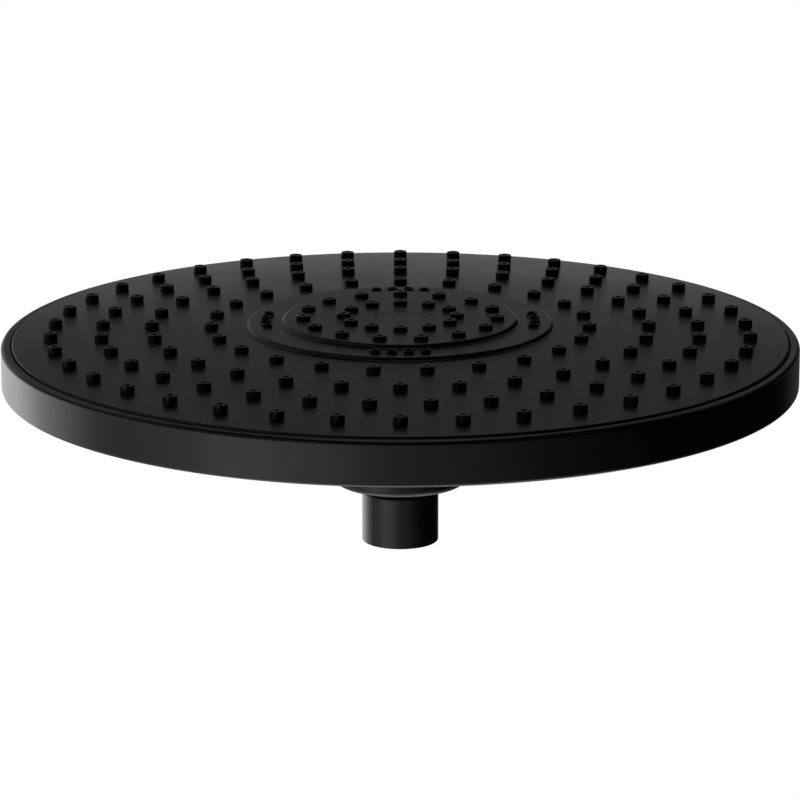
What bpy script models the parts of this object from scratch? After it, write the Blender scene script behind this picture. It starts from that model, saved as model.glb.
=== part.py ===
"""Round rain shower head on a ball joint: spray face up, threaded inlet down.

Every outline is a closed list of (radius, height) points, turned about the vertical axis.
Units are metres. The origin is the centre of the inlet's open end.
"""
import math

import bmesh
import bpy
from mathutils import Matrix

GAP = 0.0003                    # kept between pieces that touch

# Head: rim, domed face plate and the two raised tiers on it
HEAD_R = 0.125
EDGE_ROUND = 0.0008
RIM_BOTTOM = 0.0525
LIP_TOP = 0.0661
LIP_INNER_R = 0.1221
PLATE_R = 0.1216
PLATE_INNER_R = 0.0468
PLATE_T = 0.0023
DOME_TOP = 0.0709               # height the dome would reach on the axis
DOME_FALL = 0.288               # dome height lost per metre of radius squared
DOME_BREAK_R = 0.080
MIST_TOP = 0.0714
MIST_R = 0.0476
MIST_FOOT_R = 0.0487
MIST_INNER_R = 0.0335
MIST_HUB_R = PLATE_INNER_R - GAP
MIST_HUB_BOTTOM = 0.0676
CENTRE_TOP = 0.0726
CENTRE_R = 0.0366
CENTRE_FOOT_R = 0.0377
CAP_R = 0.0077
CAP_T = 0.00115

# Nozzles: count, ring radius and tip height of each ring
RAIN_RINGS = ((38, 0.1095, 0.0697), (33, 0.0938, 0.0704), (28, 0.0780, 0.0712), (23, 0.0593, 0.0716))
CENTRE_RINGS = ((15, 0.0305, 0.0739), (12, 0.0178, 0.0739))
NOZZLE_R = 0.00218
NOZZLE_SIDES = 6
MIST_RING_R = 0.0422
MIST_TUBE_R = 0.0016
MIST_TUBE_TOP = 0.0723
MIST_GROUPS = 4
MIST_PER_GROUP = 4
MIST_PITCH = math.radians(7.0)
MAT_T = 0.0015
HOLE_CLEARANCE = 0.00035

# Ball joint
BALL_Z = 0.0275
BALL_R = 0.009
LINER_T = 0.0014                # friction ring and seal cup
LINER_R = BALL_R + GAP
SEAT_R = LINER_R + LINER_T + GAP
NECK_R = 0.005
WATER_R = 0.0032
COLLAR_R = 0.0215
COLLAR_BOTTOM = 0.0193
COLLAR_TOP = 0.0330
COLLAR_DISH = 0.0015
COLLAR_ROUND = 0.0022
THREAD_R = 0.0160               # the hub's spigot inside the collar

# Inlet connector
INLET_R = 0.0121
INLET_TOP = 0.0166
SOCKET_R = 0.0096
SOCKET_DEPTH = 0.0125
SPIGOT_R = 0.006
SPIGOT_BOTTOM = SOCKET_DEPTH + 0.0007
REGULATOR_R = 0.0041

# Inlet hub, back shell and water chamber
HUB_BODY_R = 0.018
HUB_FLANGE_TOP = 0.0360
HUB_TOP = 0.0475
HUB_POCKET_FLOOR = 0.0387
HUB_PORT_R = 0.006
SHELL_BOTTOM = HUB_FLANGE_TOP + GAP
SHELL_FLOOR = 0.0440
SHELL_T = 0.0025
SHELL_WALL_R = 0.120
LEDGE_TOP = 0.0640
FLARE_POWER = 4
CHAMBER_BOTTOM = 0.0580
CHAMBER_FLOOR = 0.0600
CHAMBER_R = 0.1194
TUBE_R = 0.012
TUBE_BORE_R = 0.0095
TUBE_BOTTOM = HUB_POCKET_FLOOR + GAP
SCREW_RING_R = 0.1168
SCREW_COUNT = 6

# Facets round a turned piece
LARGE = 48
MEDIUM = 24
SMALL = 16
TINY = 8


def material(name, colour, roughness, metallic=0.0):
    """One Principled material, made once and shared by name."""
    made = bpy.data.materials.get(name)
    if made:
        return made
    made = bpy.data.materials.new(name)
    made.use_nodes = True
    shader = made.node_tree.nodes["Principled BSDF"]
    shader.inputs["Base Color"].default_value = (*colour, 1.0)
    shader.inputs["Roughness"].default_value = roughness
    shader.inputs["Metallic"].default_value = metallic
    return made


def matte_black():
    return material("matte_black", (0.020, 0.020, 0.021), 0.55)


def black_silicone():
    return material("black_silicone", (0.012, 0.012, 0.013), 0.75)


def inner_plastic():
    return material("inner_plastic", (0.09, 0.09, 0.10), 0.5)


def white_nylon():
    return material("white_nylon", (0.75, 0.74, 0.70), 0.45)


def seal_rubber():
    return material("seal_rubber", (0.025, 0.025, 0.025), 0.85)


def plain_brass():
    return material("plain_brass", (0.62, 0.47, 0.20), 0.3, 1.0)


def bright_steel():
    return material("bright_steel", (0.55, 0.56, 0.57), 0.3, 1.0)


def finish(name, bm, look, parent):
    """Turn a bmesh into a smooth-shaded object that rides on its joint's empty."""
    bmesh.ops.recalc_face_normals(bm, faces=bm.faces)
    mesh = bpy.data.meshes.new(name)
    bm.to_mesh(mesh)
    bm.free()
    mesh.materials.append(look)
    mesh.shade_smooth()
    mesh.set_sharp_from_angle(angle=math.radians(30))
    made = bpy.data.objects.new(name, mesh)
    bpy.context.collection.objects.link(made)
    if parent:
        made.parent = parent
        made.matrix_parent_inverse = Matrix.Translation((0, 0, -BALL_Z))
    return made


def turned(name, outline, sides, look, parent=None):
    """Spin a closed (radius, height) outline once round the Z axis."""
    bm = bmesh.new()
    verts = [bm.verts.new((radius, 0.0, height)) for radius, height in outline]
    edges = [bm.edges.new((a, b)) for a, b in zip(verts, verts[1:] + verts[:1])]
    bmesh.ops.spin(bm, geom=verts + edges, cent=(0, 0, 0), axis=(0, 0, 1),
                   angle=math.tau, steps=sides, use_merge=True)
    bmesh.ops.remove_doubles(bm, verts=bm.verts, dist=1e-6)
    bmesh.ops.dissolve_degenerate(bm, edges=bm.edges, dist=1e-6)
    return finish(name, bm, look, parent)


def ring_outline(inner, outer, bottom, top):
    return [(inner, bottom), (inner, top), (outer, top), (outer, bottom)]


def round_outline(radius, height, section, count=6):
    """The round section of an O-ring."""
    turns = [math.tau * i / count for i in range(count)]
    return [(radius + section * math.cos(a), height + section * math.sin(a)) for a in turns]


def sphere_arc(radius, start, end, steps):
    """Points on a sphere about the ball's centre; angles are measured from straight down."""
    angles = [math.radians(start + (end - start) * i / steps) for i in range(steps + 1)]
    return [(radius * math.sin(a), BALL_Z - radius * math.cos(a)) for a in angles]


def angle_at_radius(sphere_radius, radius):
    """Degrees from straight down where a sphere's lower half has the given radius."""
    return math.degrees(math.asin(radius / sphere_radius))


def dome(radius):
    return DOME_TOP - DOME_FALL * radius * radius


def dome_outline(inner, outer, drop, thickness):
    """A plate of even thickness that lies a given drop below the dome."""
    stations = (inner, DOME_BREAK_R, outer)
    top = [(r, dome(r) - drop) for r in stations]
    bottom = [(r, dome(r) - drop - thickness) for r in reversed(stations)]
    return top + bottom


def ring_places(count, radius):
    """Evenly spaced places on a ring, the first one at the back."""
    turns = [math.pi / 2 + math.tau * i / count for i in range(count)]
    return [(radius * math.cos(a), radius * math.sin(a)) for a in turns]


def mist_places():
    """Four groups of four, each group centred on the front, back, left or right."""
    places = []
    for group in range(MIST_GROUPS):
        for index in range(MIST_PER_GROUP):
            angle = math.tau * group / MIST_GROUPS + (index - (MIST_PER_GROUP - 1) / 2) * MIST_PITCH
            places.append((MIST_RING_R * math.cos(angle), MIST_RING_R * math.sin(angle)))
    return places


def pegs(name, posts, sides, parent=None):
    """Upright posts (x, y, radius, bottom, top) in one hidden object that joins or cuts."""
    bm = bmesh.new()
    for x, y, radius, bottom, top in posts:
        middle = Matrix.Translation((x, y, (bottom + top) / 2))
        bmesh.ops.create_cone(bm, cap_ends=True, segments=sides, radius1=radius, radius2=radius,
                              depth=top - bottom, matrix=middle)
    made = finish(name, bm, inner_plastic(), parent)
    made.hide_render = True
    made.display_type = "WIRE"
    return made


def combine(target, tool, operation):
    step = target.modifiers.new(tool.name, "BOOLEAN")
    step.operation = operation
    step.solver = "EXACT"
    step.object = tool


def nozzle_posts(rings, extra, bottom, top=None):
    """One post for each nozzle; without a top each ring has its own tip height."""
    posts = []
    for count, radius, tip in rings:
        for x, y in ring_places(count, radius):
            posts.append((x, y, NOZZLE_R + extra, bottom, top or tip))
    return posts


def joint_empty(name, parent=None):
    """An empty at the ball's centre, on the joint's axis."""
    made = bpy.data.objects.new(name, None)
    made.empty_display_size = 0.02
    bpy.context.collection.objects.link(made)
    if parent:
        made.parent = parent
    else:
        made.location = (0, 0, BALL_Z)
    return made


# Inlet: the fixed pieces

def inlet_connector():
    chamfer = 0.0006
    outline = [(SOCKET_R, chamfer), (SOCKET_R + chamfer, 0), (INLET_R - 0.0004, 0), (INLET_R, 0.0004),
               (INLET_R, INLET_TOP - EDGE_ROUND), (INLET_R - EDGE_ROUND, INLET_TOP),
               (SPIGOT_R + GAP, INLET_TOP), (SPIGOT_R + GAP, SOCKET_DEPTH), (SOCKET_R, SOCKET_DEPTH)]
    return turned("inlet_connector", outline, MEDIUM, matte_black())


def ball_stem():
    groove_r = 0.0052
    groove_z = 0.0150
    half = 0.0006
    shelf = 0.0162
    neck_angle = angle_at_radius(BALL_R, NECK_R)
    port_angle = 180 - angle_at_radius(BALL_R, WATER_R)
    seat = REGULATOR_R + GAP
    outline = [(WATER_R, shelf)] + sphere_arc(BALL_R, port_angle, neck_angle, 9)
    outline += [(NECK_R, INLET_TOP + GAP), (SPIGOT_R, INLET_TOP + GAP), (SPIGOT_R, groove_z + half),
                (groove_r, groove_z + half), (groove_r, groove_z - half), (SPIGOT_R, groove_z - half),
                (SPIGOT_R, SPIGOT_BOTTOM), (seat, SPIGOT_BOTTOM), (seat, shelf)]
    return turned("ball_stem", outline, SMALL, matte_black())


def inlet_small_pieces():
    turned("stem_o_ring", round_outline(0.0057, 0.0150, 0.0004), SMALL, seal_rubber())
    regulator = ring_outline(0.0009, REGULATOR_R, SPIGOT_BOTTOM + 0.0002, 0.0159)
    turned("flow_regulator", regulator, TINY, white_nylon())
    turned("inlet_washer", ring_outline(0.0052, 0.0093, 0.0093, 0.0113), SMALL, seal_rubber())


def filter_screen():
    bottom = 0.0116
    top = 0.0122
    outline = [(0, bottom), (0, top), (0.0093, top), (0.0093, bottom)]
    screen = turned("filter_screen", outline, SMALL, bright_steel())
    places = [(0, 0)] + ring_places(6, 0.0045)
    posts = [(x, y, 0.0015, bottom - 0.001, top + 0.001) for x, y in places]
    combine(screen, pegs("filter_hole_cutter", posts, 6), "DIFFERENCE")


# The two ball liners, each its own moving body

def friction_ring(parent):
    outer = LINER_R + LINER_T
    outline = sphere_arc(LINER_R, 52, 84, 3) + sphere_arc(outer, 84, 52, 3)
    turned("friction_ring", outline, SMALL, white_nylon(), parent)


def seal_cup(parent):
    outer = LINER_R + LINER_T
    outline = sphere_arc(LINER_R, 103, 141, 3) + sphere_arc(outer, 141, 103, 3)
    turned("seal_cup", outline, SMALL, seal_rubber(), parent)


# Head: collar and hub around the ball

def collar(parent):
    dish = COLLAR_BOTTOM + COLLAR_DISH
    mouth = math.degrees(math.acos((BALL_Z - dish) / SEAT_R))
    split = BALL_Z - GAP
    outline = sphere_arc(SEAT_R, mouth, 88, 4)
    outline += [(SEAT_R, split), (THREAD_R + GAP, split), (THREAD_R + GAP, COLLAR_TOP),
                (COLLAR_R, COLLAR_TOP)]
    for degrees in (0, 30, 60, 90):
        angle = math.radians(degrees)
        outline.append((COLLAR_R - COLLAR_ROUND * (1 - math.cos(angle)),
                        COLLAR_BOTTOM + COLLAR_ROUND * (1 - math.sin(angle))))
    outline += [(0.0175, COLLAR_BOTTOM), (0.0168, dish)]
    turned("collar", outline, MEDIUM, matte_black(), parent)


def inlet_hub(parent):
    groove_r = 0.0149
    groove_z = 0.0304
    half = 0.0008
    flange = COLLAR_TOP + GAP
    port_angle = 180 - angle_at_radius(SEAT_R, HUB_PORT_R)
    outline = sphere_arc(SEAT_R, port_angle, 90, 5)
    outline += [(THREAD_R, BALL_Z), (THREAD_R, groove_z - half), (groove_r, groove_z - half),
                (groove_r, groove_z + half), (THREAD_R, groove_z + half), (THREAD_R, flange),
                (COLLAR_R, flange), (COLLAR_R, HUB_FLANGE_TOP), (HUB_BODY_R, HUB_FLANGE_TOP),
                (HUB_BODY_R, HUB_TOP), (TUBE_R + GAP, HUB_TOP), (TUBE_R + GAP, HUB_POCKET_FLOOR),
                (HUB_PORT_R, HUB_POCKET_FLOOR)]
    turned("inlet_hub", outline, MEDIUM, plain_brass(), parent)


def hub_seals_and_nut(parent):
    turned("collar_o_ring", round_outline(0.0155, 0.0304, 0.00052), MEDIUM, seal_rubber(), parent)
    turned("inlet_o_ring", round_outline(0.0115, 0.0410, 0.00052), MEDIUM, seal_rubber(), parent)
    nut = ring_outline(HUB_BODY_R + GAP, 0.0235, SHELL_FLOOR + GAP, HUB_TOP - GAP)
    turned("hub_nut", nut, MEDIUM, bright_steel(), parent)


# Head: back shell and water chamber

def flare(radius):
    """Height of the shell's underside: flat under the rim, then curving down to the hub."""
    outer = HEAD_R - EDGE_ROUND
    share = (outer - radius) / (outer - COLLAR_R)
    return RIM_BOTTOM - (RIM_BOTTOM - SHELL_BOTTOM) * share ** FLARE_POWER


def back_shell(parent):
    outside = [0.100, 0.080, 0.062, 0.046, 0.033, 0.025, COLLAR_R]
    inside = [0.045, 0.060, 0.085]
    hole = HUB_BODY_R + GAP
    outline = [(LIP_INNER_R, LIP_TOP), (HEAD_R - EDGE_ROUND, LIP_TOP), (HEAD_R, LIP_TOP - EDGE_ROUND),
               (HEAD_R, RIM_BOTTOM + EDGE_ROUND), (HEAD_R - EDGE_ROUND, RIM_BOTTOM)]
    outline += [(r, flare(r)) for r in outside]
    outline += [(hole, SHELL_BOTTOM), (hole, SHELL_FLOOR), (0.028, SHELL_FLOOR)]
    outline += [(r, flare(r) + SHELL_T) for r in inside]
    outline += [(0.117, 0.0552), (SHELL_WALL_R, 0.0562), (SHELL_WALL_R, LEDGE_TOP), (LIP_INNER_R, LEDGE_TOP)]
    shell = turned("back_shell", outline, LARGE, matte_black(), parent)
    places = ring_places(SCREW_COUNT, SCREW_RING_R)
    bosses = [(x, y, 0.0025, 0.0540, CHAMBER_BOTTOM - GAP) for x, y in places]
    pilots = [(x, y, 0.0015, 0.0556, CHAMBER_BOTTOM + 0.001) for x, y in places]
    combine(shell, pegs("shell_boss_tool", bosses, 8, parent), "UNION")
    combine(shell, pegs("shell_pilot_cutter", pilots, 6, parent), "DIFFERENCE")


def distribution_plate(parent):
    gasket_seat = 0.0618
    groove_r = 0.0108
    groove_z = 0.0410
    half = 0.0007
    outline = [(0, CHAMBER_BOTTOM), (TUBE_BORE_R, CHAMBER_BOTTOM), (TUBE_BORE_R, TUBE_BOTTOM),
               (TUBE_R, TUBE_BOTTOM), (TUBE_R, groove_z - half), (groove_r, groove_z - half),
               (groove_r, groove_z + half), (TUBE_R, groove_z + half), (TUBE_R, CHAMBER_BOTTOM),
               (CHAMBER_R, CHAMBER_BOTTOM), (CHAMBER_R, CHAMBER_FLOOR)]
    for inner, outer, top in ((0.1110, 0.1142, gasket_seat), (0.0503, 0.0523, 0.0656),
                              (0.0388, 0.0404, 0.0655)):
        outline += [(outer, CHAMBER_FLOOR), (outer, top), (inner, top), (inner, CHAMBER_FLOOR)]
    outline += [(0.0040, CHAMBER_FLOOR), (0.0040, 0.0660), (0.0022, 0.0660), (0.0022, 0.0610), (0, 0.0610)]
    plate = turned("distribution_plate", outline, MEDIUM, inner_plastic(), parent)
    low = CHAMBER_BOTTOM - 0.001
    high = CHAMBER_FLOOR + 0.001
    ports = [(x, y, 0.0022, low, high) for x, y in ring_places(4, 0.0066)]
    screws = [(x, y, 0.0016, low, high) for x, y in ring_places(SCREW_COUNT, SCREW_RING_R)]
    combine(plate, pegs("chamber_hole_cutter", ports + screws, 6, parent), "DIFFERENCE")
    gasket = ring_outline(0.1114, 0.1138, gasket_seat + GAP, gasket_seat + GAP + 0.0007)
    turned("chamber_gasket", gasket, MEDIUM, seal_rubber(), parent)


def chamber_screws(parent):
    """Six screws that hold the water chamber to the shell's bosses."""
    head = CHAMBER_FLOOR + GAP
    outline = [(0, 0.0560), (0.0012, 0.0560), (0.0012, head), (0.0022, head), (0.0022, head + 0.0015),
               (0, head + 0.0015)]
    for number, (x, y) in enumerate(ring_places(SCREW_COUNT, SCREW_RING_R), 1):
        screw = turned(f"chamber_screw_{number}", outline, 8, bright_steel(), parent)
        screw.location = (x, y, 0)


# Head: mats, face plate and tiers

def rain_field(parent):
    """The face plate and, under it, the one silicone mat that carries all four rain rings."""
    plate_outline = dome_outline(PLATE_INNER_R, PLATE_R, 0, PLATE_T)
    plate = turned("face_plate", plate_outline, LARGE, matte_black(), parent)
    holes = nozzle_posts(RAIN_RINGS, HOLE_CLEARANCE, 0.060, 0.075)
    combine(plate, pegs("rain_hole_cutter", holes, NOZZLE_SIDES, parent), "DIFFERENCE")
    mat_outline = dome_outline(0.0500, 0.1133, PLATE_T + GAP, MAT_T)
    mat = turned("rain_mat", mat_outline, LARGE, black_silicone(), parent)
    posts = []
    for count, radius, tip in RAIN_RINGS:
        posts += nozzle_posts([(count, radius, tip)], 0, dome(radius) - PLATE_T - MAT_T / 2)
    combine(mat, pegs("rain_nozzle_tool", posts, NOZZLE_SIDES, parent), "UNION")


def mist_tier(parent):
    """The lower raised ring and the strip of mist tubes under it."""
    foot = dome(MIST_FOOT_R) + GAP
    inner_foot = dome(PLATE_INNER_R) + GAP
    outline = [(MIST_INNER_R, MIST_TOP), (MIST_R, MIST_TOP), (MIST_FOOT_R, foot), (MIST_HUB_R, inner_foot),
               (MIST_HUB_R, MIST_HUB_BOTTOM), (MIST_INNER_R, MIST_HUB_BOTTOM)]
    ring = turned("mist_ring", outline, LARGE, matte_black(), parent)
    holes = [(x, y, MIST_TUBE_R + HOLE_CLEARANCE, 0.066, 0.073) for x, y in mist_places()]
    combine(ring, pegs("mist_hole_cutter", holes, NOZZLE_SIDES, parent), "DIFFERENCE")
    strip_top = MIST_HUB_BOTTOM - GAP
    strip = ring_outline(0.0385, 0.0462, strip_top - MAT_T, strip_top)
    mat = turned("mist_mat", strip, MEDIUM, black_silicone(), parent)
    posts = [(x, y, MIST_TUBE_R, strip_top - MAT_T / 2, MIST_TUBE_TOP) for x, y in mist_places()]
    combine(mat, pegs("mist_tube_tool", posts, NOZZLE_SIDES, parent), "UNION")


def centre_tier(parent):
    """The upper raised disc with its own silicone mat."""
    hub_r = 0.0095
    hub_bottom = 0.0663
    underside = CENTRE_TOP - PLATE_T
    brim = MIST_TOP + GAP
    brim_inner_r = MIST_INNER_R - GAP
    screw_floor = 0.0690
    cap_floor = 0.0711
    outline = [(0.0023, hub_bottom), (0.0023, screw_floor), (0.0048, screw_floor), (0.0048, cap_floor),
               (CAP_R + GAP, cap_floor), (CAP_R + GAP, CENTRE_TOP), (CENTRE_R, CENTRE_TOP),
               (CENTRE_FOOT_R, brim), (brim_inner_r, brim), (brim_inner_r, underside),
               (hub_r, underside), (hub_r, hub_bottom)]
    plate = turned("centre_plate", outline, MEDIUM, matte_black(), parent)
    holes = nozzle_posts(CENTRE_RINGS, HOLE_CLEARANCE, 0.069, 0.075)
    combine(plate, pegs("centre_hole_cutter", holes, NOZZLE_SIDES, parent), "DIFFERENCE")
    mat_top = underside - GAP
    mat_outline = ring_outline(hub_r + GAP, 0.0330, mat_top - MAT_T, mat_top)
    mat = turned("centre_mat", mat_outline, MEDIUM, black_silicone(), parent)
    posts = nozzle_posts(CENTRE_RINGS, 0, mat_top - MAT_T / 2)
    combine(mat, pegs("centre_nozzle_tool", posts, NOZZLE_SIDES, parent), "UNION")


def centre_fixing(parent):
    """The cap, and the screw and seal that it hides."""
    flush = CENTRE_TOP - 0.00005
    cap = [(0, flush - CAP_T), (0, flush), (CAP_R, flush), (CAP_R, flush - CAP_T)]
    turned("centre_cap", cap, SMALL, matte_black(), parent)
    turned("screw_seal", ring_outline(0.0023, 0.0043, 0.0692, 0.0698), TINY, seal_rubber(), parent)
    screw = [(0, 0.0615), (0.0018, 0.0615), (0.0018, 0.0700), (0.0043, 0.0700), (0.0043, 0.0711), (0, 0.0711)]
    turned("centre_screw", screw, TINY, bright_steel(), parent)


def build():
    for old in list(bpy.data.objects):
        bpy.data.objects.remove(old, do_unlink=True)
    inlet_connector()
    ball_stem()
    inlet_small_pieces()
    filter_screen()
    swivel = joint_empty("swivel_axis")
    tilt = joint_empty("tilt_axis", swivel)
    spin = joint_empty("spin_axis", tilt)
    friction_ring(swivel)
    seal_cup(tilt)
    collar(spin)
    inlet_hub(spin)
    hub_seals_and_nut(spin)
    back_shell(spin)
    distribution_plate(spin)
    chamber_screws(spin)
    rain_field(spin)
    mist_tier(spin)
    centre_tier(spin)
    centre_fixing(spin)


build()
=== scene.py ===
# %% [markdown]
# # A matte-black rain shower head
#
# This lesson builds the looks of a 250 mm rain shower head. It stands with its spray face up and its
# threaded inlet down. The design model is loaded first and stays fixed. It decides every size and every
# joint. This script adds the finely shaped pieces, the finishes, the light and the camera.

import math

import bmesh
import bpy
from mathutils import Matrix, Vector


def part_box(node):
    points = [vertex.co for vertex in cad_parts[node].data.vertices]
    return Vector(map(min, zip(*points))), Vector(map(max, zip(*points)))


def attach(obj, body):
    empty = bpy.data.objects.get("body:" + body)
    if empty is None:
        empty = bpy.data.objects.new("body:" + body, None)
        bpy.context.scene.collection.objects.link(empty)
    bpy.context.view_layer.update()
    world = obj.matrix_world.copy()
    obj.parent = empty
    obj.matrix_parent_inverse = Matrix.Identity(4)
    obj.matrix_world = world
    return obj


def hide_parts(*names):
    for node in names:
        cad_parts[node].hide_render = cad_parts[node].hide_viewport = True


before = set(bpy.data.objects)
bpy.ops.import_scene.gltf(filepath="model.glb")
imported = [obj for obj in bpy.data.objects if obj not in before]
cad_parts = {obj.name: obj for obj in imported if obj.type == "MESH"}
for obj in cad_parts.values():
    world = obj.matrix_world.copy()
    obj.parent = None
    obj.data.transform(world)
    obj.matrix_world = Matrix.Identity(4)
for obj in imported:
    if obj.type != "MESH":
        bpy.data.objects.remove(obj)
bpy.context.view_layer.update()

# %% [markdown]
# ## Camera
#
# A product picture of a flat, wide object is taken from far away with a long lens, so that the near rim
# isn't drawn larger than the far one. The camera stands in front, a little above, and looks down by about
# 15 degrees. It is made first, because every later choice is judged through it.

# %% Camera
LENS_MM = 169.67
LOOK_DOWN = math.radians(14.65)
camera_data = bpy.data.cameras.new("camera")
camera_data.lens = LENS_MM
camera_data.sensor_width = 36.0
camera_data.clip_end = 50.0
camera = bpy.data.objects.new("camera", camera_data)
bpy.context.collection.objects.link(camera)
camera.location = (-0.0001, -1.1512, 0.3466)
camera.rotation_euler = (math.radians(90) - LOOK_DOWN, 0, 0)
bpy.context.scene.camera = camera
bpy.context.scene.view_settings.view_transform = "Standard"
print("camera distance, m:", round(camera.location.length, 3))

# %% [markdown]
# ## Sizes
#
# Sizes that the design model can tell are read from the boxes of its parts. The rest are a few named
# numbers in metres. A maker would call them the wall, the rounding and the dome of the face.

# %% Sizes
shell_low, shell_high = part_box("back_shell")
_, plate_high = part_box("face_plate")
collar_low, collar_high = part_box("collar")
_, inlet_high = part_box("inlet_connector")
HEAD_R = shell_high.x
LIP_TOP = shell_high.z
SHELL_BOTTOM = shell_low.z
RIM_BOTTOM = 0.0525
LIP_INNER_R = 0.1221
PLATE_R = plate_high.x
PLATE_T = 0.0023
DOME_TOP = 0.0709
DOME_FALL = 0.288
BALL_Z = 0.0275
BALL_R = 0.009
COLLAR_R = collar_high.x
INLET_R = inlet_high.x
INLET_TOP = inlet_high.z
print("head radius and lip height, mm:", round(1000 * HEAD_R, 2), round(1000 * LIP_TOP, 2))


def dome(radius):
    """Height of the face plate's surface at a distance from the axis."""
    return DOME_TOP - DOME_FALL * radius * radius


# %% [markdown]
# ## A helper that turns a piece
#
# Most of this object is turned or moulded round one axis, so one helper does most of the work. It draws
# half a section as a loop of corners, rounds each corner with a vertex bevel, and spins the loop once round
# the axis. Rounding the corners before the spin costs almost nothing, and real edges always catch a line of
# light. A weighted normal modifier keeps the wide flats flat beside their narrow roundings.

# %% Helper: turn an outline with rounded corners
SHARP_ANGLE = math.radians(40)
ROUNDING_STEPS = 8


def add_piece(name, bm, body, material_slot, *nodes):
    """Make the object, let it ride on a body and stand for its design nodes."""
    mesh = bpy.data.meshes.new(name)
    bm.to_mesh(mesh)
    bm.free()
    mesh.shade_smooth()
    mesh.set_sharp_from_angle(angle=SHARP_ANGLE)
    piece = bpy.data.objects.new(name, mesh)
    bpy.context.collection.objects.link(piece)
    weighting = piece.modifiers.new("weighted_normals", "WEIGHTED_NORMAL")
    weighting.keep_sharp = True
    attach(piece, body)
    if nodes:
        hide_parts(*nodes)
    return piece


def outline_to_bmesh(corners):
    """A closed wire loop of (radius, height, rounding) corners in the XZ plane."""
    bm = bmesh.new()
    verts = [bm.verts.new((radius, 0, height)) for radius, height, _ in corners]
    for first, second in zip(verts, verts[1:] + verts[:1]):
        bm.edges.new((first, second))
    for rounding in sorted({corner[2] for corner in corners if corner[2] > 0}):
        chosen = [vert for vert, corner in zip(verts, corners) if corner[2] == rounding]
        bmesh.ops.bevel(bm, geom=chosen, offset=rounding, offset_type="OFFSET", affect="VERTICES",
                        segments=ROUNDING_STEPS, profile=0.5, material=-1)
    return bm


def turn(corners, sides):
    """Spin the rounded outline once round the Z axis."""
    bm = outline_to_bmesh(corners)
    bmesh.ops.spin(bm, geom=bm.verts[:] + bm.edges[:], cent=(0, 0, 0), axis=(0, 0, 1),
                   angle=math.tau, steps=sides, use_merge=True)
    bmesh.ops.remove_doubles(bm, verts=bm.verts, dist=1e-6)
    bmesh.ops.dissolve_degenerate(bm, edges=bm.edges, dist=1e-7)
    bmesh.ops.recalc_face_normals(bm, faces=bm.faces)
    return bm


# %% [markdown]
# ## Back shell
#
# The shell is the wide casing: a plain upright side wall that ends in a narrow lip, and an almost flat back
# that curves down into the hub. The back's curve is one power law, flat under the rim and steep at the
# hub, so no joint shows between rim and neck.

# %% Back shell
RIM_EDGE = 0.0012                  # rounding under the rim
LIP_EDGE = 0.0013                  # rounding on top of the lip
CRISP = 0.0002                     # the smallest rounding that a mould leaves
SHELL_T = 0.0025
WALL_INNER_R = 0.120
LEDGE = 0.0640                     # the lip's inner face ends here
FLARE_OUTER_R = HEAD_R - 0.0008
FLARE_POWER = 4


def flare(radius):
    """Height of the shell's underside at a distance from the axis."""
    share = (FLARE_OUTER_R - radius) / (FLARE_OUTER_R - COLLAR_R)
    return RIM_BOTTOM - (RIM_BOTTOM - SHELL_BOTTOM) * share ** FLARE_POWER


def stations(start, end, count):
    """Evenly spaced radii from start to end, without the end itself."""
    return [start + (end - start) * i / count for i in range(count)]


def back_shell():
    hub_hole = 0.0183
    floor = 0.0440
    corners = [(LIP_INNER_R, LIP_TOP, CRISP), (HEAD_R, LIP_TOP, LIP_EDGE), (HEAD_R, RIM_BOTTOM, RIM_EDGE)]
    corners += [(r, flare(r), 0) for r in stations(0.118, COLLAR_R, 28)]
    corners += [(COLLAR_R, SHELL_BOTTOM, 0.0004), (hub_hole, SHELL_BOTTOM, 0), (hub_hole, floor, 0.0003)]
    corners += [(r, max(floor, flare(r) + SHELL_T), 0) for r in stations(0.028, 0.117, 16)]
    corners += [(WALL_INNER_R, 0.0560, 0.001), (WALL_INNER_R, LEDGE, CRISP), (LIP_INNER_R, LEDGE, 0)]
    return add_piece("back_shell", turn(corners, 256), "head", "matte_black", "back_shell")


shell_piece = back_shell()
print("back shell faces:", len(shell_piece.data.polygons))

# %% [markdown]
# ## Sheets with holes
#
# The face plate and the silicone mats are sheets with many round holes. A Boolean would leave long, uneven
# faces on the dome, and the light would show them. Instead the sheet is drawn flat, as circles: a few round
# the axis, and one for each hole. The triangle fill operator fills each band between two circles, and the
# flat result is then lifted on to the dome.

# %% Helper: a sheet of bands, drilled with circles
def circle(bm, sides, radius, x=0.0, y=0.0):
    """A wire circle. Returns its edges."""
    made = bmesh.ops.create_circle(bm, cap_ends=False, segments=sides, radius=radius,
                                   matrix=Matrix.Translation((x, y, 0)))
    return list(dict.fromkeys(edge for vert in made["verts"] for edge in vert.link_edges))


def drilled_sheet(bm, radii, holes, hole_r, hole_sides, lift, sides=192):
    """Fill the bands between circles, around the holes, and lift the sheet to lift(radius)."""
    rings = [circle(bm, sides, radius) for radius in radii]
    made = {vert for ring in rings for edge in ring for vert in edge.verts}
    faces = []
    for index in range(len(radii) - 1):
        edges = rings[index] + rings[index + 1]
        for x, y in holes:
            if radii[index] < math.hypot(x, y) < radii[index + 1]:
                hole = circle(bm, hole_sides, hole_r, x, y)
                made.update(vert for edge in hole for vert in edge.verts)
                edges += hole
        filled = bmesh.ops.triangle_fill(bm, use_beauty=True, use_dissolve=False, edges=edges,
                                         normal=(0, 0, 1))
        faces += [item for item in filled["geom"] if isinstance(item, bmesh.types.BMFace)]
    for vert in made:
        vert.co.z = lift(math.hypot(vert.co.x, vert.co.y))
    return faces, rings[0], rings[-1]


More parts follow.
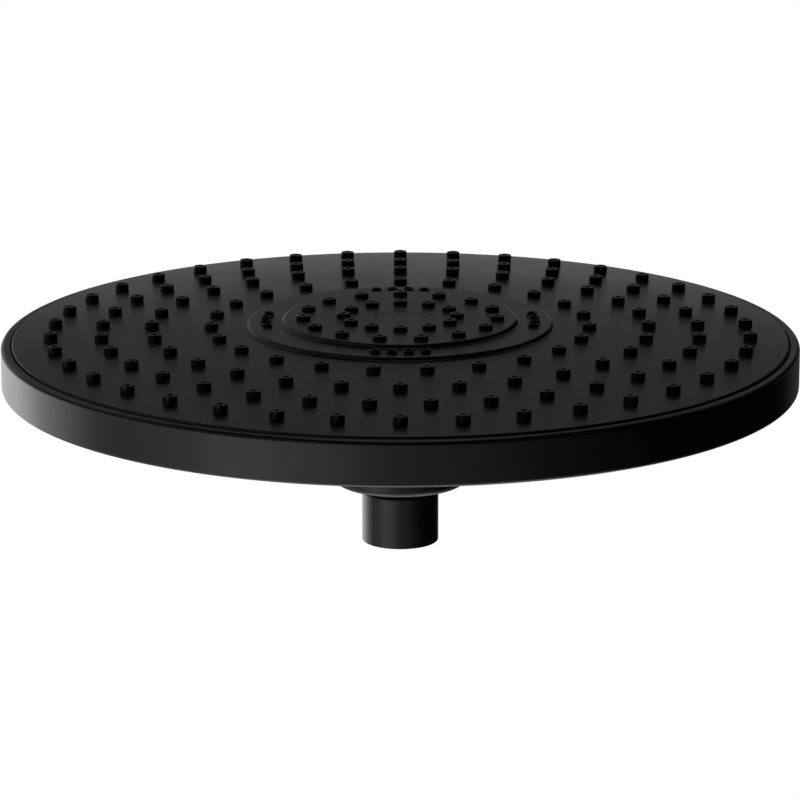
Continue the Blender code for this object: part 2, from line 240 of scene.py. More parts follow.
def ring_places(count, radius):
    """Evenly spaced places on a ring, the first one at the back."""
    turns = [math.pi / 2 + math.tau * i / count for i in range(count)]
    return [(radius * math.cos(a), radius * math.sin(a)) for a in turns]


# %% [markdown]
# ## Face plate
#
# The plate is a gently domed disc that lies inside the lip with a fine dark groove around it. Four rings of
# holes let the nozzles through. After the fill, the sheet is extruded down to give it thickness, and its
# upper rim gets a small bevel, where the disc catches a thin bright line.

# %% Face plate
RAIN_RINGS = ((38, 0.1095, 0.0697), (33, 0.0938, 0.0704), (28, 0.0780, 0.0712), (23, 0.0593, 0.0716))
NOZZLE_R = 0.00218
NOZZLE_SIDES = 14
HOLE_R = NOZZLE_R + 0.00012
HOLE_SIDES = 24
PLATE_EDGE = 0.0005
RAIN_BANDS = (0.0468, 0.0520, 0.0689, 0.0862, 0.1020, 0.1165, PLATE_R)


def rain_places():
    return [place for count, radius, _ in RAIN_RINGS for place in ring_places(count, radius)]


def face_plate():
    """The domed, drilled sheet, given its thickness and its rim."""
    bm = bmesh.new()
    faces, _, rim = drilled_sheet(bm, RAIN_BANDS, rain_places(), HOLE_R, HOLE_SIDES, dome)
    down = bmesh.ops.extrude_face_region(bm, geom=faces, use_keep_orig=True)
    lowered = [item for item in down["geom"] if isinstance(item, bmesh.types.BMVert)]
    bmesh.ops.translate(bm, verts=lowered, vec=(0, 0, -PLATE_T))
    bmesh.ops.bevel(bm, geom=rim, offset=PLATE_EDGE, offset_type="OFFSET", affect="EDGES", segments=6,
                    profile=0.5, material=-1)
    bmesh.ops.recalc_face_normals(bm, faces=bm.faces)
    return add_piece("face_plate", bm, "head", "matte_black", "face_plate")


plate_piece = face_plate()
print("face plate: holes", len(rain_places()), "faces", len(plate_piece.data.polygons))

# %% [markdown]
# ## Silicone mats
#
# The rain nozzles are not separate: they are moulded on one thin silicone mat that lies under the plate, so
# limescale can be rubbed off with a thumb. Each nozzle is turned from one small outline, bore included, with
# so few sides that a hundred and twenty of them stay light. They stand on the mat's holes and are merged
# with its two skins, so the mat is one closed body and nothing can shift between them.

# %% Helper: a nozzle, and a mat with its nozzles
BORE_R = 0.0009
MAT_SIDES = 96
WELD = 2e-6                        # nozzle and skin vertices closer than this are one


def nozzle(bm, x, y, profile):
    """Turn one nozzle about its own axis."""
    verts = [bm.verts.new((x + radius, y, height)) for radius, height in profile]
    edges = [bm.edges.new(pair) for pair in zip(verts, verts[1:])]
    bmesh.ops.spin(bm, geom=verts + edges, cent=(x, y, 0), axis=(0, 0, 1), angle=math.tau,
                   steps=NOZZLE_SIDES, use_merge=True)


def mat(name, bands, rings, radius, bore, top_of, bottom_of, profile_of):
    """Two drilled skins, bridged at their rims, with a nozzle on every hole.

    The nozzle's first and last rings follow the mat's two skins."""
    bm = bmesh.new()
    holes = [place for places, _ in rings for place in places]
    _, top_inner, top_outer = drilled_sheet(bm, bands, holes, radius, NOZZLE_SIDES, top_of, MAT_SIDES)
    _, low_inner, low_outer = drilled_sheet(bm, bands, holes, bore, NOZZLE_SIDES, bottom_of, MAT_SIDES)
    bmesh.ops.bridge_loops(bm, edges=top_outer + low_outer)
    bmesh.ops.bridge_loops(bm, edges=top_inner + low_inner)
    for places, tip in rings:
        for x, y in places:
            single = bmesh.new()
            nozzle(single, x, y, profile_of(radius, bore, tip))
            for vert in single.verts:
                away = math.hypot(vert.co.x, vert.co.y)
                if vert.co.z == 0:
                    vert.co.z = top_of(away)
                elif vert.co.z < 0:
                    vert.co.z = bottom_of(away)
            holder = bpy.data.meshes.new("nozzle")
            single.to_mesh(holder)
            single.free()
            bm.from_mesh(holder)
            bpy.data.meshes.remove(holder)
    bmesh.ops.remove_doubles(bm, verts=bm.verts, dist=WELD)
    bmesh.ops.recalc_face_normals(bm, faces=bm.faces)
    open_edges = sum(1 for edge in bm.edges if not edge.is_manifold)
    print(name, "faces", len(bm.faces), "open edges", open_edges)
    return add_piece(name, bm, "head", "black_silicone", name)


def nozzle_profile(radius, bore, tip):
    """Side, rounded shoulder, flat tip and bore. Height 0 is the mat's top, -1 its underside."""
    shoulder = 0.00016
    return [(radius, 0), (radius, tip - shoulder), (radius - shoulder, tip), (bore, tip), (bore, -1)]


# %% Rain mat
MAT_T = 0.0015
MAT_BANDS = (0.0500, 0.0689, 0.0862, 0.1020, 0.1133)


def rain_mat():
    rings = [(ring_places(count, radius), tip) for count, radius, tip in RAIN_RINGS]
    drop = PLATE_T + 0.0003
    return mat("rain_mat", MAT_BANDS, rings, NOZZLE_R, BORE_R, lambda r: dome(r) - drop,
               lambda r: dome(r) - drop - MAT_T, nozzle_profile)


rain_piece = rain_mat()

# %% [markdown]
# ## The two raised tiers
#
# The middle of the face rises in two steps. The lower one is a ring with sixteen small mist tubes in four
# groups. The upper one is a disc with two rings of nozzles. Both tops are flat, so here a Boolean is safe:
# it can't disturb the shading of a flat face. Each step has a crisp upper edge and a soft foot.

# %% Helper: drill a flat piece
def drill(piece, places, radius, sides, bottom, top):
    """Cut round holes through a flat piece and keep the result as its mesh."""
    bm = bmesh.new()
    for x, y in places:
        bmesh.ops.create_cone(bm, cap_ends=True, segments=sides, radius1=radius, radius2=radius,
                              depth=top - bottom, matrix=Matrix.Translation((x, y, (top + bottom) / 2)))
    mesh = bpy.data.meshes.new("drill")
    bm.to_mesh(mesh)
    bm.free()
    cutter = bpy.data.objects.new("drill", mesh)
    bpy.context.collection.objects.link(cutter)
    cut = piece.modifiers.new("cut", "BOOLEAN")
    cut.operation = "DIFFERENCE"
    cut.solver = "EXACT"
    cut.object = cutter
    piece.modifiers.move(len(piece.modifiers) - 1, 0)
    weighting = piece.modifiers["weighted_normals"]
    weighting.show_viewport = False
    bpy.context.view_layer.update()
    evaluated = piece.evaluated_get(bpy.context.evaluated_depsgraph_get())
    result = bpy.data.meshes.new_from_object(evaluated)
    piece.modifiers.remove(cut)
    piece.data = result
    result.set_sharp_from_angle(angle=SHARP_ANGLE)
    weighting.show_viewport = True
    bpy.data.objects.remove(cutter)
    return piece


# %% Mist ring
MIST_TOP = 0.0714
MIST_R = 0.0476
MIST_FOOT_R = 0.0488
MIST_RING_R = 0.0422
MIST_TUBE_R = 0.0016
MIST_PITCH = math.radians(7.0)
MIST_MAT_TOP = 0.0673
TIER_EDGE = 0.0006
TIER_FOOT = 0.0005
TIER_LEAN = 0.0002                 # a tier's side runs out by this much towards its foot
TIER_GAP = 0.00005                 # a tier's foot above the surface it stands on


def mist_places():
    """Four groups of four, each group centred on the front, back, left or right."""
    places = []
    for group in range(4):
        for index in range(4):
            angle = math.tau * group / 4 + (index - 1.5) * MIST_PITCH
            places.append((MIST_RING_R * math.cos(angle), MIST_RING_R * math.sin(angle)))
    return places


def mist_ring():
    foot = dome(MIST_FOOT_R) + TIER_GAP
    foot_r = MIST_FOOT_R + 0.0002
    inner_r = 0.0335
    body_r = 0.0465
    under = 0.0676
    corners = [(inner_r, MIST_TOP, 0), (MIST_R, MIST_TOP, TIER_EDGE),
               (MIST_R + TIER_LEAN, foot + 0.00004, TIER_FOOT), (foot_r, foot + 0.00002, 0),
               (foot_r, foot, 0), (body_r, foot + 0.0001, 0), (body_r, under, CRISP), (inner_r, under, CRISP)]
    piece = add_piece("mist_ring", turn(corners, 192), "head", "matte_black", "mist_ring")
    return drill(piece, mist_places(), MIST_TUBE_R + 0.0001, 20, 0.066, 0.073)


mist_piece = mist_ring()

# %% Mist tubes
def tube_profile(radius, bore, tip):
    """A thin-walled tube with a rounded mouth."""
    wall = 0.00012
    return [(radius, 0), (radius, tip - wall), (radius - wall, tip), (bore + wall, tip),
            (bore, tip - wall), (bore, -1)]


MIST_TUBE_TOP = 0.0723
MIST_TUBE_BORE = 0.00115
mist_rings = [(mist_places(), MIST_TUBE_TOP)]
mist_mat_piece = mat("mist_mat", (0.0385, 0.0462), mist_rings, MIST_TUBE_R, MIST_TUBE_BORE,
                     lambda r: MIST_MAT_TOP, lambda r: MIST_MAT_TOP - MAT_T, tube_profile)

# %% Centre plate, its nozzles and the cap
CENTRE_TOP = 0.0726
CENTRE_R = 0.0366
CENTRE_FOOT_R = 0.0378
CENTRE_RINGS = ((15, 0.0305, 0.0739), (12, 0.0178, 0.0739))
CENTRE_MAT_TOP = 0.0700
CAP_R = 0.0077
CAP_GAP = 0.00022
CAP_EDGE = 0.00012
CAP_DROP = 0.00004                 # the cap lies this far below the plate's top


def centre_plate():
    foot = MIST_TOP + TIER_GAP
    foot_r = CENTRE_FOOT_R + 0.0001
    screw_r, head_r, boss_r, body_r = 0.0023, 0.0048, 0.0095, 0.0332
    boss_low, screw_seat, cap_seat, under = 0.0663, 0.0690, 0.0711, 0.0703
    corners = [(screw_r, boss_low, 0), (screw_r, screw_seat, 0), (head_r, screw_seat, 0),
               (head_r, cap_seat, 0), (CAP_R + CAP_GAP, cap_seat, 0), (CAP_R + CAP_GAP, CENTRE_TOP, CAP_EDGE),
               (CENTRE_R, CENTRE_TOP, TIER_EDGE), (CENTRE_R + TIER_LEAN, foot + 0.00004, TIER_FOOT),
               (foot_r, foot + 0.00002, 0), (foot_r, foot, 0), (body_r, foot, 0),
               (body_r, under, CRISP), (boss_r, under, 0), (boss_r, boss_low, CRISP)]
    piece = add_piece("centre_plate", turn(corners, 192), "head", "matte_black", "centre_plate")
    places = [place for count, radius, _ in CENTRE_RINGS for place in ring_places(count, radius)]
    return drill(piece, places, HOLE_R, HOLE_SIDES, 0.069, 0.075)


centre_piece = centre_plate()
centre_rings = [(ring_places(count, radius), tip) for count, radius, tip in CENTRE_RINGS]
centre_mat_piece = mat("centre_mat", (0.0098, 0.0240, 0.0330), centre_rings, NOZZLE_R, BORE_R,
                       lambda r: CENTRE_MAT_TOP, lambda r: CENTRE_MAT_TOP - MAT_T, nozzle_profile)
cap_top = CENTRE_TOP - CAP_DROP
cap_bottom = 0.0714
cap_corners = [(0, cap_bottom, 0), (0, cap_top, 0), (CAP_R, cap_top, CAP_EDGE), (CAP_R, cap_bottom, 0.0001)]
cap_piece = add_piece("centre_cap", turn(cap_corners, 96), "head", "matte_black", "centre_cap")

# %% [markdown]
# ## Ball joint
#
# Under the shell, a collar holds the ball of the inlet stem. The collar's underside is dished, so that the
# head can lean without touching the connector. The ball, its two liners and the seats are all spheres about
# one centre.

# %% Collar
COLLAR_EDGE = 0.0022


def sphere_arc(radius, start, end, steps):
    """Corners on a sphere about the ball's centre; angles are measured from straight down."""
    angles = [math.radians(start + (end - start) * i / steps) for i in range(steps + 1)]
    return [(radius * math.sin(a), BALL_Z - radius * math.cos(a), 0) for a in angles]


def collar():
    seat_r = 0.0110
    seat_top = BALL_Z - 0.0003
    thread_r = 0.0163
    bottom = collar_low.z
    dish = bottom + 0.0015
    mouth = math.degrees(math.acos((BALL_Z - dish) / seat_r))
    top = collar_high.z
    corners = sphere_arc(seat_r, mouth, 88, 12)
    corners += [(seat_r, seat_top, 0), (thread_r, seat_top, 0), (thread_r, top, 0.0003),
                (COLLAR_R, top, 0.0005), (COLLAR_R, bottom, COLLAR_EDGE), (0.0174, bottom, 0.0003),
                (0.0166, dish, 0.0003)]
    return add_piece("collar", turn(corners, 128), "head", "black_metal", "collar")


collar_piece = collar()

# %% Ball stem and its two liners
def ball_stem():
    bore_r, socket_r, neck_r, groove_r, spigot_r = 0.0032, 0.0044, 0.005, 0.0052, 0.006
    shoulder = INLET_TOP + 0.0003
    bore_end, groove_top, groove_low, end = 0.0162, 0.0156, 0.0144, 0.0132
    neck_angle = math.degrees(math.asin(neck_r / BALL_R))
    port_angle = 180 - math.degrees(math.asin(bore_r / BALL_R))
    corners = [(bore_r, bore_end, 0)] + sphere_arc(BALL_R, port_angle, neck_angle, 28)
    corners += [(neck_r, shoulder, 0.0004), (spigot_r, shoulder, 0.0002), (spigot_r, groove_top, 0),
                (groove_r, groove_top, 0), (groove_r, groove_low, 0), (spigot_r, groove_low, 0),
                (spigot_r, end, 0.0003), (socket_r, end, 0), (socket_r, bore_end, 0)]
    return add_piece("ball_stem", turn(corners, 96), "inlet", "black_metal", "ball_stem")


def liner(name, body, slot_name, start, end):
    """A ring of the ball's seat, from one angle to another."""
    inner = 0.0093
    outer = 0.0107
    corners = sphere_arc(inner, start, end, 10) + sphere_arc(outer, end, start, 10)
    return add_piece(name, turn(corners, 96), body, slot_name, name)


stem_piece = ball_stem()
ring_piece = liner("friction_ring", "lower_liner", "white_nylon", 52, 84)
cup_piece = liner("seal_cup", "upper_liner", "seal_rubber", 103, 141)
print("ball joint:", stem_piece.name, ring_piece.name, cup_piece.name)

# %% [markdown]
# ## Inlet connector
#
# The connector is a plain turned nut. Its pipe thread lies inside, out of sight, and is left as a plain bore:
# a modelled thread would cost more faces than the whole outside and show in no view from above. The outside
# is smooth, with small roundings at both ends that catch the light.

# %% Inlet connector
def inlet_connector():
    socket = 0.0096
    shelf = 0.0125
    neck_hole = 0.0063
    corners = [(socket, 0, 0.0006), (INLET_R, 0, 0.0004), (INLET_R, INLET_TOP, 0.0008),
               (neck_hole, INLET_TOP, 0.0002), (neck_hole, shelf, 0), (socket, shelf, 0)]
    return add_piece("inlet_connector", turn(corners, 128), "inlet", "black_metal", "inlet_connector")


connector_piece = inlet_connector()
print("inlet connector faces:", len(connector_piece.data.polygons))

# %% [markdown]
# ## Finishes: shared effects
#
# Real surfaces are never one flat number. Moulded plastic carries the fine, spark-eroded grain of its mould,
# turned metal carries faint rings, gloss drifts a little over a hand's width, and a little dust settles on
# whatever faces up. Image textures could hold all this, but they need unwrapping and have a fixed
# resolution. Node groups that read Object coordinates have neither problem. Each effect is one group with
# named inputs and outputs, built once and placed in each material with its own values. A group only gives
# masks and heights; the shader stays in the material.

# %% Helper: add a shader node
def add_node(tree, kind, inputs=None, **settings):
    """Add a node, apply its settings, and fill its inputs with values or other nodes' outputs."""
    made = tree.nodes.new(kind)
    for name, value in settings.items():
        setattr(made, name, value)
    for key, value in (inputs or {}).items():
        if isinstance(value, bpy.types.NodeSocket):
            tree.links.new(value, made.inputs[key])
        else:
            made.inputs[key].default_value = value
    return made


def math_node(tree, operation, *values):
    """A Math node's output."""
    return add_node(tree, "ShaderNodeMath", dict(enumerate(values)), operation=operation).outputs[0]


def new_group(name, inputs, outputs):
    """An empty effect: a node group with float inputs and their defaults, and float outputs."""
    group = bpy.data.node_groups.new(name, "ShaderNodeTree")
    for label, default in inputs.items():
        socket = group.interface.new_socket(label, in_out="INPUT", socket_type="NodeSocketFloat")
        socket.default_value = default
    for label in outputs:
        group.interface.new_socket(label, in_out="OUTPUT", socket_type="NodeSocketFloat")
    return group, group.nodes.new("NodeGroupInput"), group.nodes.new("NodeGroupOutput")


def object_coordinates(tree):
    return tree.nodes.new("ShaderNodeTexCoord").outputs["Object"]


# %% Effects: moulded grain and slow mottle
def make_moulded_grain():
    group, given, result = new_group("moulded_grain", {"Scale": 4000.0}, ["Height"])
    place = object_coordinates(group)
    fine = add_node(group, "ShaderNodeTexNoise",
                    {"Vector": place, "Scale": given.outputs["Scale"], "Detail": 2.0, "Roughness": 0.6})
    coarse = math_node(group, "MULTIPLY", given.outputs["Scale"], 0.45)
    pits = add_node(group, "ShaderNodeTexVoronoi", {"Vector": place, "Scale": coarse}, feature="SMOOTH_F1")
    half = math_node(group, "MULTIPLY", pits.outputs["Distance"], 0.5)
    total = math_node(group, "ADD", fine.outputs["Fac"], half)
    group.links.new(total, result.inputs["Height"])
    return group


def make_soft_mottle():
    group, given, result = new_group("soft_mottle", {"Scale": 40.0, "Low": 0.0, "High": 1.0}, ["Value"])
    noise = add_node(group, "ShaderNodeTexNoise",
                     {"Vector": object_coordinates(group), "Scale": given.outputs["Scale"], "Detail": 4.0})
    spread = add_node(group, "ShaderNodeMapRange",
                      {"Value": noise.outputs["Fac"], "From Min": 0.3, "From Max": 0.7,
                       "To Min": given.outputs["Low"], "To Max": given.outputs["High"]})
    group.links.new(spread.outputs["Result"], result.inputs["Value"])
    return group


moulded_grain = make_moulded_grain()
soft_mottle = make_soft_mottle()
print("effects:", moulded_grain.name, soft_mottle.name)


# %% Effects: turned lines and dust
def make_turned_lines():
    group, given, result = new_group("turned_lines", {"Lines Per Metre": 9000.0}, ["Height"])
    parts = add_node(group, "ShaderNodeSeparateXYZ", {"Vector": object_coordinates(group)})
    flat = add_node(group, "ShaderNodeCombineXYZ", {"X": parts.outputs["X"], "Y": parts.outputs["Y"]})
    radius = add_node(group, "ShaderNodeVectorMath", {0: flat.outputs[0]}, operation="LENGTH")
    section = add_node(group, "ShaderNodeCombineXYZ",
                       {"X": radius.outputs["Value"], "Y": parts.outputs["Z"]})
    lines = add_node(group, "ShaderNodeTexNoise",
                     {"Vector": section.outputs[0], "Scale": given.outputs["Lines Per Metre"], "Detail": 3.0})
    group.links.new(lines.outputs["Fac"], result.inputs["Height"])
    return group


def make_settled_dust():
    """Specks, only where the surface faces up."""
    group, given, result = new_group("settled_dust", {"Scale": 900.0, "Amount": 0.1}, ["Mask"])
    true = group.nodes.new("ShaderNodeNewGeometry")
    parts = add_node(group, "ShaderNodeSeparateXYZ", {"Vector": true.outputs["Normal"]})
    up = add_node(group, "ShaderNodeMapRange",
                  {"Value": parts.outputs["Z"], "From Min": 0.8, "From Max": 1.0})
    specks = add_node(group, "ShaderNodeTexNoise",
                      {"Vector": object_coordinates(group), "Scale": given.outputs["Scale"], "Detail": 3.0})
    sparse = add_node(group, "ShaderNodeMapRange",
                      {"Value": specks.outputs["Fac"], "From Min": 0.62, "From Max": 0.8})
    both = math_node(group, "MULTIPLY", up.outputs["Result"], sparse.outputs["Result"])
    mask = math_node(group, "MULTIPLY", both, given.outputs["Amount"])
    group.links.new(mask, result.inputs["Mask"])
    return group


turned_lines = make_turned_lines()
settled_dust = make_settled_dust()
print("effects:", turned_lines.name, settled_dust.name)


# %% Helper: put an effect in a material, and make a plain material
def effect(tree, group, **values):
    """Place an effect with its own values. Underscores in a name stand for spaces."""
    made = add_node(tree, "ShaderNodeGroup", node_tree=group)
    for name, value in values.items():
        made.inputs[name.replace("_", " ")].default_value = value
    return made.outputs[0]


def new_material(name, **constants):
    """A Principled material whose constants sit on the shader's own sockets."""
    material = bpy.data.materials.new(name)
    material.use_nodes = True
    material.cycles.use_bump_map_correction = False    # the correction would crease small roundings
    tree = material.node_tree
    shader = tree.nodes["Principled BSDF"]
    for label, value in constants.items():
        shader.inputs[label.replace("_", " ")].default_value = value
    return material, tree, shader


def colour_between(tree, mask, dark, light):
    """A colour that goes from dark to light with a mask."""
    mix = add_node(tree, "ShaderNodeMixRGB", {"Fac": mask, "Color1": (*dark, 1), "Color2": (*light, 1)})
    return mix.outputs["Color"]


def bump(tree, shader, height, depth, strength=1.0):
    """Feed a height, in units of depth metres, to the shader's normal."""
    made = add_node(tree, "ShaderNodeBump", {"Height": height, "Distance": depth, "Strength": strength})
    tree.links.new(made.outputs["Normal"], shader.inputs["Normal"])


# %% [markdown]
# ## Finishes: the black parts
#
# The casing is black plastic out of a finely eroded mould: nearly no colour of its own, so that almost all
# its brightness is a broad, soft gloss. The collar, the connector and the ball stem are metal under a black
# powder coat, which flows a little and sets with a very shallow orange peel. The silicone is black too, but
# its nozzles come from a polished mould and look wet: the same black with a much smoother surface tells
# them apart.

# %% Black plastic, black coat and black silicone
BLACK_GLOSS = 0.31
SILICONE_GLOSS = 0.12
BLACK_DARK = (0.0035, 0.0035, 0.0036)
BLACK_LIGHT = (0.0046, 0.0045, 0.0044)
DUST = (0.05, 0.05, 0.048, 1)


def black_finish(name, roughness, grain_scale, grain_depth, dusty=0.0):
    """Near-black with mottled gloss, grain and a trace of dust."""
    material, tree, shader = new_material(name)
    mottle = effect(tree, soft_mottle, Scale=45.0, Low=-0.018, High=0.018)
    dust = effect(tree, settled_dust, Scale=1400.0, Amount=dusty)
    tint = effect(tree, soft_mottle, Scale=18.0)
    plain = colour_between(tree, tint, BLACK_DARK, BLACK_LIGHT)
    colour = add_node(tree, "ShaderNodeMixRGB", {"Fac": dust, "Color1": plain, "Color2": DUST})
    tree.links.new(colour.outputs["Color"], shader.inputs["Base Color"])
    gloss = math_node(tree, "ADD", roughness, mottle)
    dulled = math_node(tree, "MULTIPLY_ADD", dust, 0.3, gloss)
    tree.links.new(dulled, shader.inputs["Roughness"])
    bump(tree, shader, effect(tree, moulded_grain, Scale=grain_scale), grain_depth)
    return material


matte_black = black_finish("matte_black_plastic", BLACK_GLOSS, 5200.0, 0.000004, 0.06)
black_coat = black_finish("black_powder_coat", BLACK_GLOSS, 1900.0, 0.000006)
black_silicone = black_finish("black_silicone", SILICONE_GLOSS, 7000.0, 0.0000015)
print("black finishes:", matte_black.name, black_coat.name, black_silicone.name)

# %% [markdown]
# ## Finishes: the parts inside
#
# The hub is brass, turned on a lathe and left bare, so rings run round it and it tarnishes unevenly. The nut,
# the screws and the filter are stainless steel. The lower seat of the ball is white nylon, and the seals are
# dull black rubber. They are hidden most of the time, but each still gets its own finish.

# %% Turned metal
def turned_metal(name, dark, light, roughness, lines):
    material, tree, shader = new_material(name, Metallic=1.0)
    tarnish = effect(tree, soft_mottle, Scale=160.0)
    tree.links.new(colour_between(tree, tarnish, dark, light), shader.inputs["Base Color"])
    rings = effect(tree, turned_lines, Lines_Per_Metre=lines)
    drift = effect(tree, soft_mottle, Scale=90.0, Low=roughness - 0.05, High=roughness + 0.08)
    tree.links.new(drift, shader.inputs["Roughness"])
    bump(tree, shader, rings, 0.00001, 0.6)
    return material


brass = turned_metal("turned_brass", (0.50, 0.36, 0.15), (0.64, 0.49, 0.22), 0.30, 5000.0)
steel = turned_metal("turned_steel", (0.44, 0.45, 0.46), (0.58, 0.58, 0.58), 0.28, 7000.0)


# %% Moulded nylon, inner plastic and rubber
def moulded(name, dark, light, roughness, grain_scale, grain_depth):
    material, tree, shader = new_material(name)
    flow = effect(tree, soft_mottle, Scale=70.0)
    tree.links.new(colour_between(tree, flow, dark, light), shader.inputs["Base Color"])
    gloss = effect(tree, soft_mottle, Scale=200.0, Low=roughness - 0.05, High=roughness + 0.05)
    dust = effect(tree, settled_dust, Amount=0.1)
    tree.links.new(math_node(tree, "ADD", gloss, dust), shader.inputs["Roughness"])
    bump(tree, shader, effect(tree, moulded_grain, Scale=grain_scale), grain_depth)
    return material


nylon = moulded("white_nylon", (0.70, 0.69, 0.64), (0.77, 0.76, 0.72), 0.42, 3500.0, 0.000006)
inner_plastic = moulded("grey_inner_plastic", (0.075, 0.075, 0.082), (0.10, 0.10, 0.11), 0.48, 3000.0,
                        0.00001)
rubber = moulded("seal_rubber", (0.018, 0.018, 0.018), (0.030, 0.029, 0.028), 0.72, 2600.0, 0.00001)
print("inner finishes:", brass.name, steel.name, nylon.name, inner_plastic.name, rubber.name)


# %% Give every piece its finish
def coat(material, *pieces):
    """Assign a finish to new pieces, or by name to the design's own parts that stay."""
    for piece in pieces:
        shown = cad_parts[piece] if isinstance(piece, str) else piece
        shown.data.materials.clear()
        shown.data.materials.append(material)


coat(matte_black, shell_piece, plate_piece, mist_piece, centre_piece, cap_piece)
coat(black_coat, collar_piece, connector_piece, stem_piece)
coat(black_silicone, rain_piece, mist_mat_piece, centre_mat_piece)
coat(brass, "inlet_hub")
coat(nylon, ring_piece, "flow_regulator")
coat(inner_plastic, "distribution_plate")
coat(rubber, cup_piece, "stem_o_ring", "inlet_washer", "collar_o_ring", "inlet_o_ring", "chamber_gasket",
     "screw_seal")
coat(steel, "filter_screen", "hub_nut", "centre_screw", *[f"chamber_screw_{n}" for n in range(1, 7)])

# %% [markdown]
# ## Floor and light
#
# A black, half-glossy object shows almost nothing but reflections, so its shape is drawn by the studio and
# not by its colour. The floor and the room are plain white for the camera. The head itself doesn't see
# them: a white floor would turn up in every reflection and wash out the dark bands that round off the rim.

# %% Floor
FLOOR_HALF = 20.0
FLOOR_DROP = 0.0002                # keeps the inlet's end face off the floor


def floor():
    """A white floor that only the camera sees."""
    bm = bmesh.new()
    bmesh.ops.create_grid(bm, x_segments=1, y_segments=1, size=FLOOR_HALF)
    mesh = bpy.data.meshes.new("floor")
    bm.to_mesh(mesh)
    bm.free()
    made = bpy.data.objects.new("floor", mesh)
    made.location.z = -FLOOR_DROP
    bpy.context.collection.objects.link(made)
    material = bpy.data.materials.new("floor_white")
    material.use_nodes = True
    nodes = material.node_tree.nodes
    links = material.node_tree.links
    nodes.clear()
    path = nodes.new("ShaderNodeLightPath")
    seen = nodes.new("ShaderNodeEmission")
    seen.inputs["Strength"].default_value = 1.0
    unseen = nodes.new("ShaderNodeEmission")
    unseen.inputs["Strength"].default_value = 0.25
    choose = nodes.new("ShaderNodeMixShader")
    output = nodes.new("ShaderNodeOutputMaterial")
    links.new(path.outputs["Is Camera Ray"], choose.inputs[0])
    links.new(unseen.outputs[0], choose.inputs[1])
    links.new(seen.outputs[0], choose.inputs[2])
    links.new(choose.outputs[0], output.inputs["Surface"])
    made.data.materials.append(material)
    made.visible_glossy = False
    made.visible_diffuse = False
    made.visible_shadow = False
    print("floor, m:", [round(side, 1) for side in made.dimensions])


floor()

# %% World: white for the camera, black for the head
world = bpy.data.worlds.new("studio")
bpy.context.scene.world = world
world.use_nodes = True
nodes = world.node_tree.nodes
links = world.node_tree.links
nodes.clear()
path = nodes.new("ShaderNodeLightPath")
seen = nodes.new("ShaderNodeBackground")
room = nodes.new("ShaderNodeBackground")
room.inputs["Strength"].default_value = 0.0
choose = nodes.new("ShaderNodeMixShader")
output = nodes.new("ShaderNodeOutputWorld")
links.new(path.outputs["Is Camera Ray"], choose.inputs[0])
links.new(room.outputs[0], choose.inputs[1])
seen.inputs["Color"].default_value = (1, 1, 1, 1)
links.new(seen.outputs[0], choose.inputs[2])
links.new(choose.outputs[0], output.inputs["Surface"])
print("world:", world.name)

# %% [markdown]
# ## A tent of soft panels
#
# Around the head hangs a tent: rows of soft panels at several heights, each panel with its own strength.
# The left side and the back are bright and the right side is nearly dark, so the rim runs from white at the
# left edge through a grey band to black at the right, and the low back rows lay the sheen on the face. One
# big panel lies underneath and lights the underside. A single large lamp would be simpler, but it gives one
# highlight; a tent gives a whole gradient, and any part of it can be dimmed alone.

# %% Lights
TENT_DISTANCE = 2.5


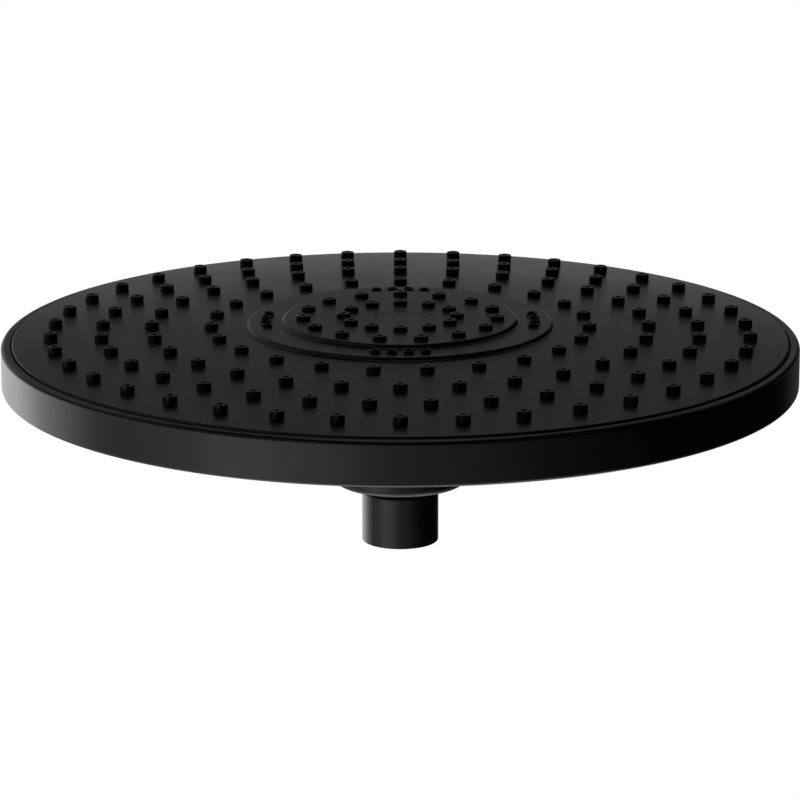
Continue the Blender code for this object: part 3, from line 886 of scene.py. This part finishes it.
def softbox(name, azimuth, elevation, width, height, radiance):
    """A soft panel that faces the head. Azimuth 0 is the front, 90 the left, 180 the back."""
    data = bpy.data.lights.new(name, "AREA")
    data.shape = "RECTANGLE"
    data.size = width
    data.size_y = height
    data.energy = radiance * math.pi * width * height
    made = bpy.data.objects.new(name, data)
    a = math.radians(azimuth)
    e = math.radians(elevation)
    target = Vector((0, 0, 0.06))
    offset = Vector((-math.sin(a) * math.cos(e), -math.cos(a) * math.cos(e), math.sin(e)))
    made.location = target + TENT_DISTANCE * offset
    made.rotation_euler = (-offset).to_track_quat("-Z", "Y").to_euler()
    made.visible_camera = False
    bpy.context.collection.objects.link(made)


# %% The tent's rows
UNDER_PANEL = 2.6
# Each row: elevation of its middle, its height, both in degrees, and its strengths from the front round by
# the left. A row of one strength is a square panel.
TENT = (
    (-90, 60, (1.58,)),
    (-57.5, 25, (0.07, 0.4, 0.48, 0.37, 0.17)),
    (-35.5, 19, (0.47, 0.77, 0.49, 0.3, 0.21, 0.06, 0, 0.32)),
    (-17, 18, (0.31, 0.82, 1.22, 0.52, 0.24, 1.1, 2.03, 1.38, 0.7, 0.09, 0, 0, 0, 0, 0.04, 0.2)),
    (-5, 6, (0.09, 0.61, 0.75, 0.71, 0.94, 0.82, 0.7, 0.11, 0, 0, 0, 0)),
    (0, 4, (0.24, 0.64, 0.84, 0.9, 1, 1.04, 1.48, 0.2, 0, 0, 0, 0.06)),
    (4, 4, (0.12, 0.45, 0.55, 0.5, 0.35, 0.23, 0.19, 0, 0, 0, 0, 0)),
    (8.5, 5, (0.11, 0.48, 0.49, 0.37, 0.24, 0.25, 0.26, 0, 0, 0, 0, 0)),
    (14.5, 7, (0, 0.04, 0, 0, 0, 0.43, 0.07, 0, 0, 0, 0, 0)),
    (24, 12, (0, 0, 0, 0, 0.14, 0.15, 0, 0, 0, 0)),
    (40, 20, (0, 0.24, 0.15, 0.28, 0.09, 0.15, 0, 0.06)),
    (65, 30, (0, 0, 0, 0, 0, 0, 0.78, 0, 0, 0, 0, 0)),
)


def light_tent():
    """Hang a row of panels at each height, and leave out the dark ones."""
    lit = 0
    for elevation, tall, strengths in TENT:
        step = 360 / len(strengths)
        width = height = UNDER_PANEL
        if len(strengths) > 1:
            row_r = TENT_DISTANCE * math.cos(math.radians(elevation))
            width = 2 * row_r * math.tan(math.radians(step / 2))
            height = 2 * TENT_DISTANCE * math.tan(math.radians(tall / 2))
        for index, strength in enumerate(strengths):
            if strength > 0:
                lit += 1
                softbox(f"tent_{lit:02d}", index * step, elevation, width, height, strength)
    return lit


print("lit panels:", light_tent())
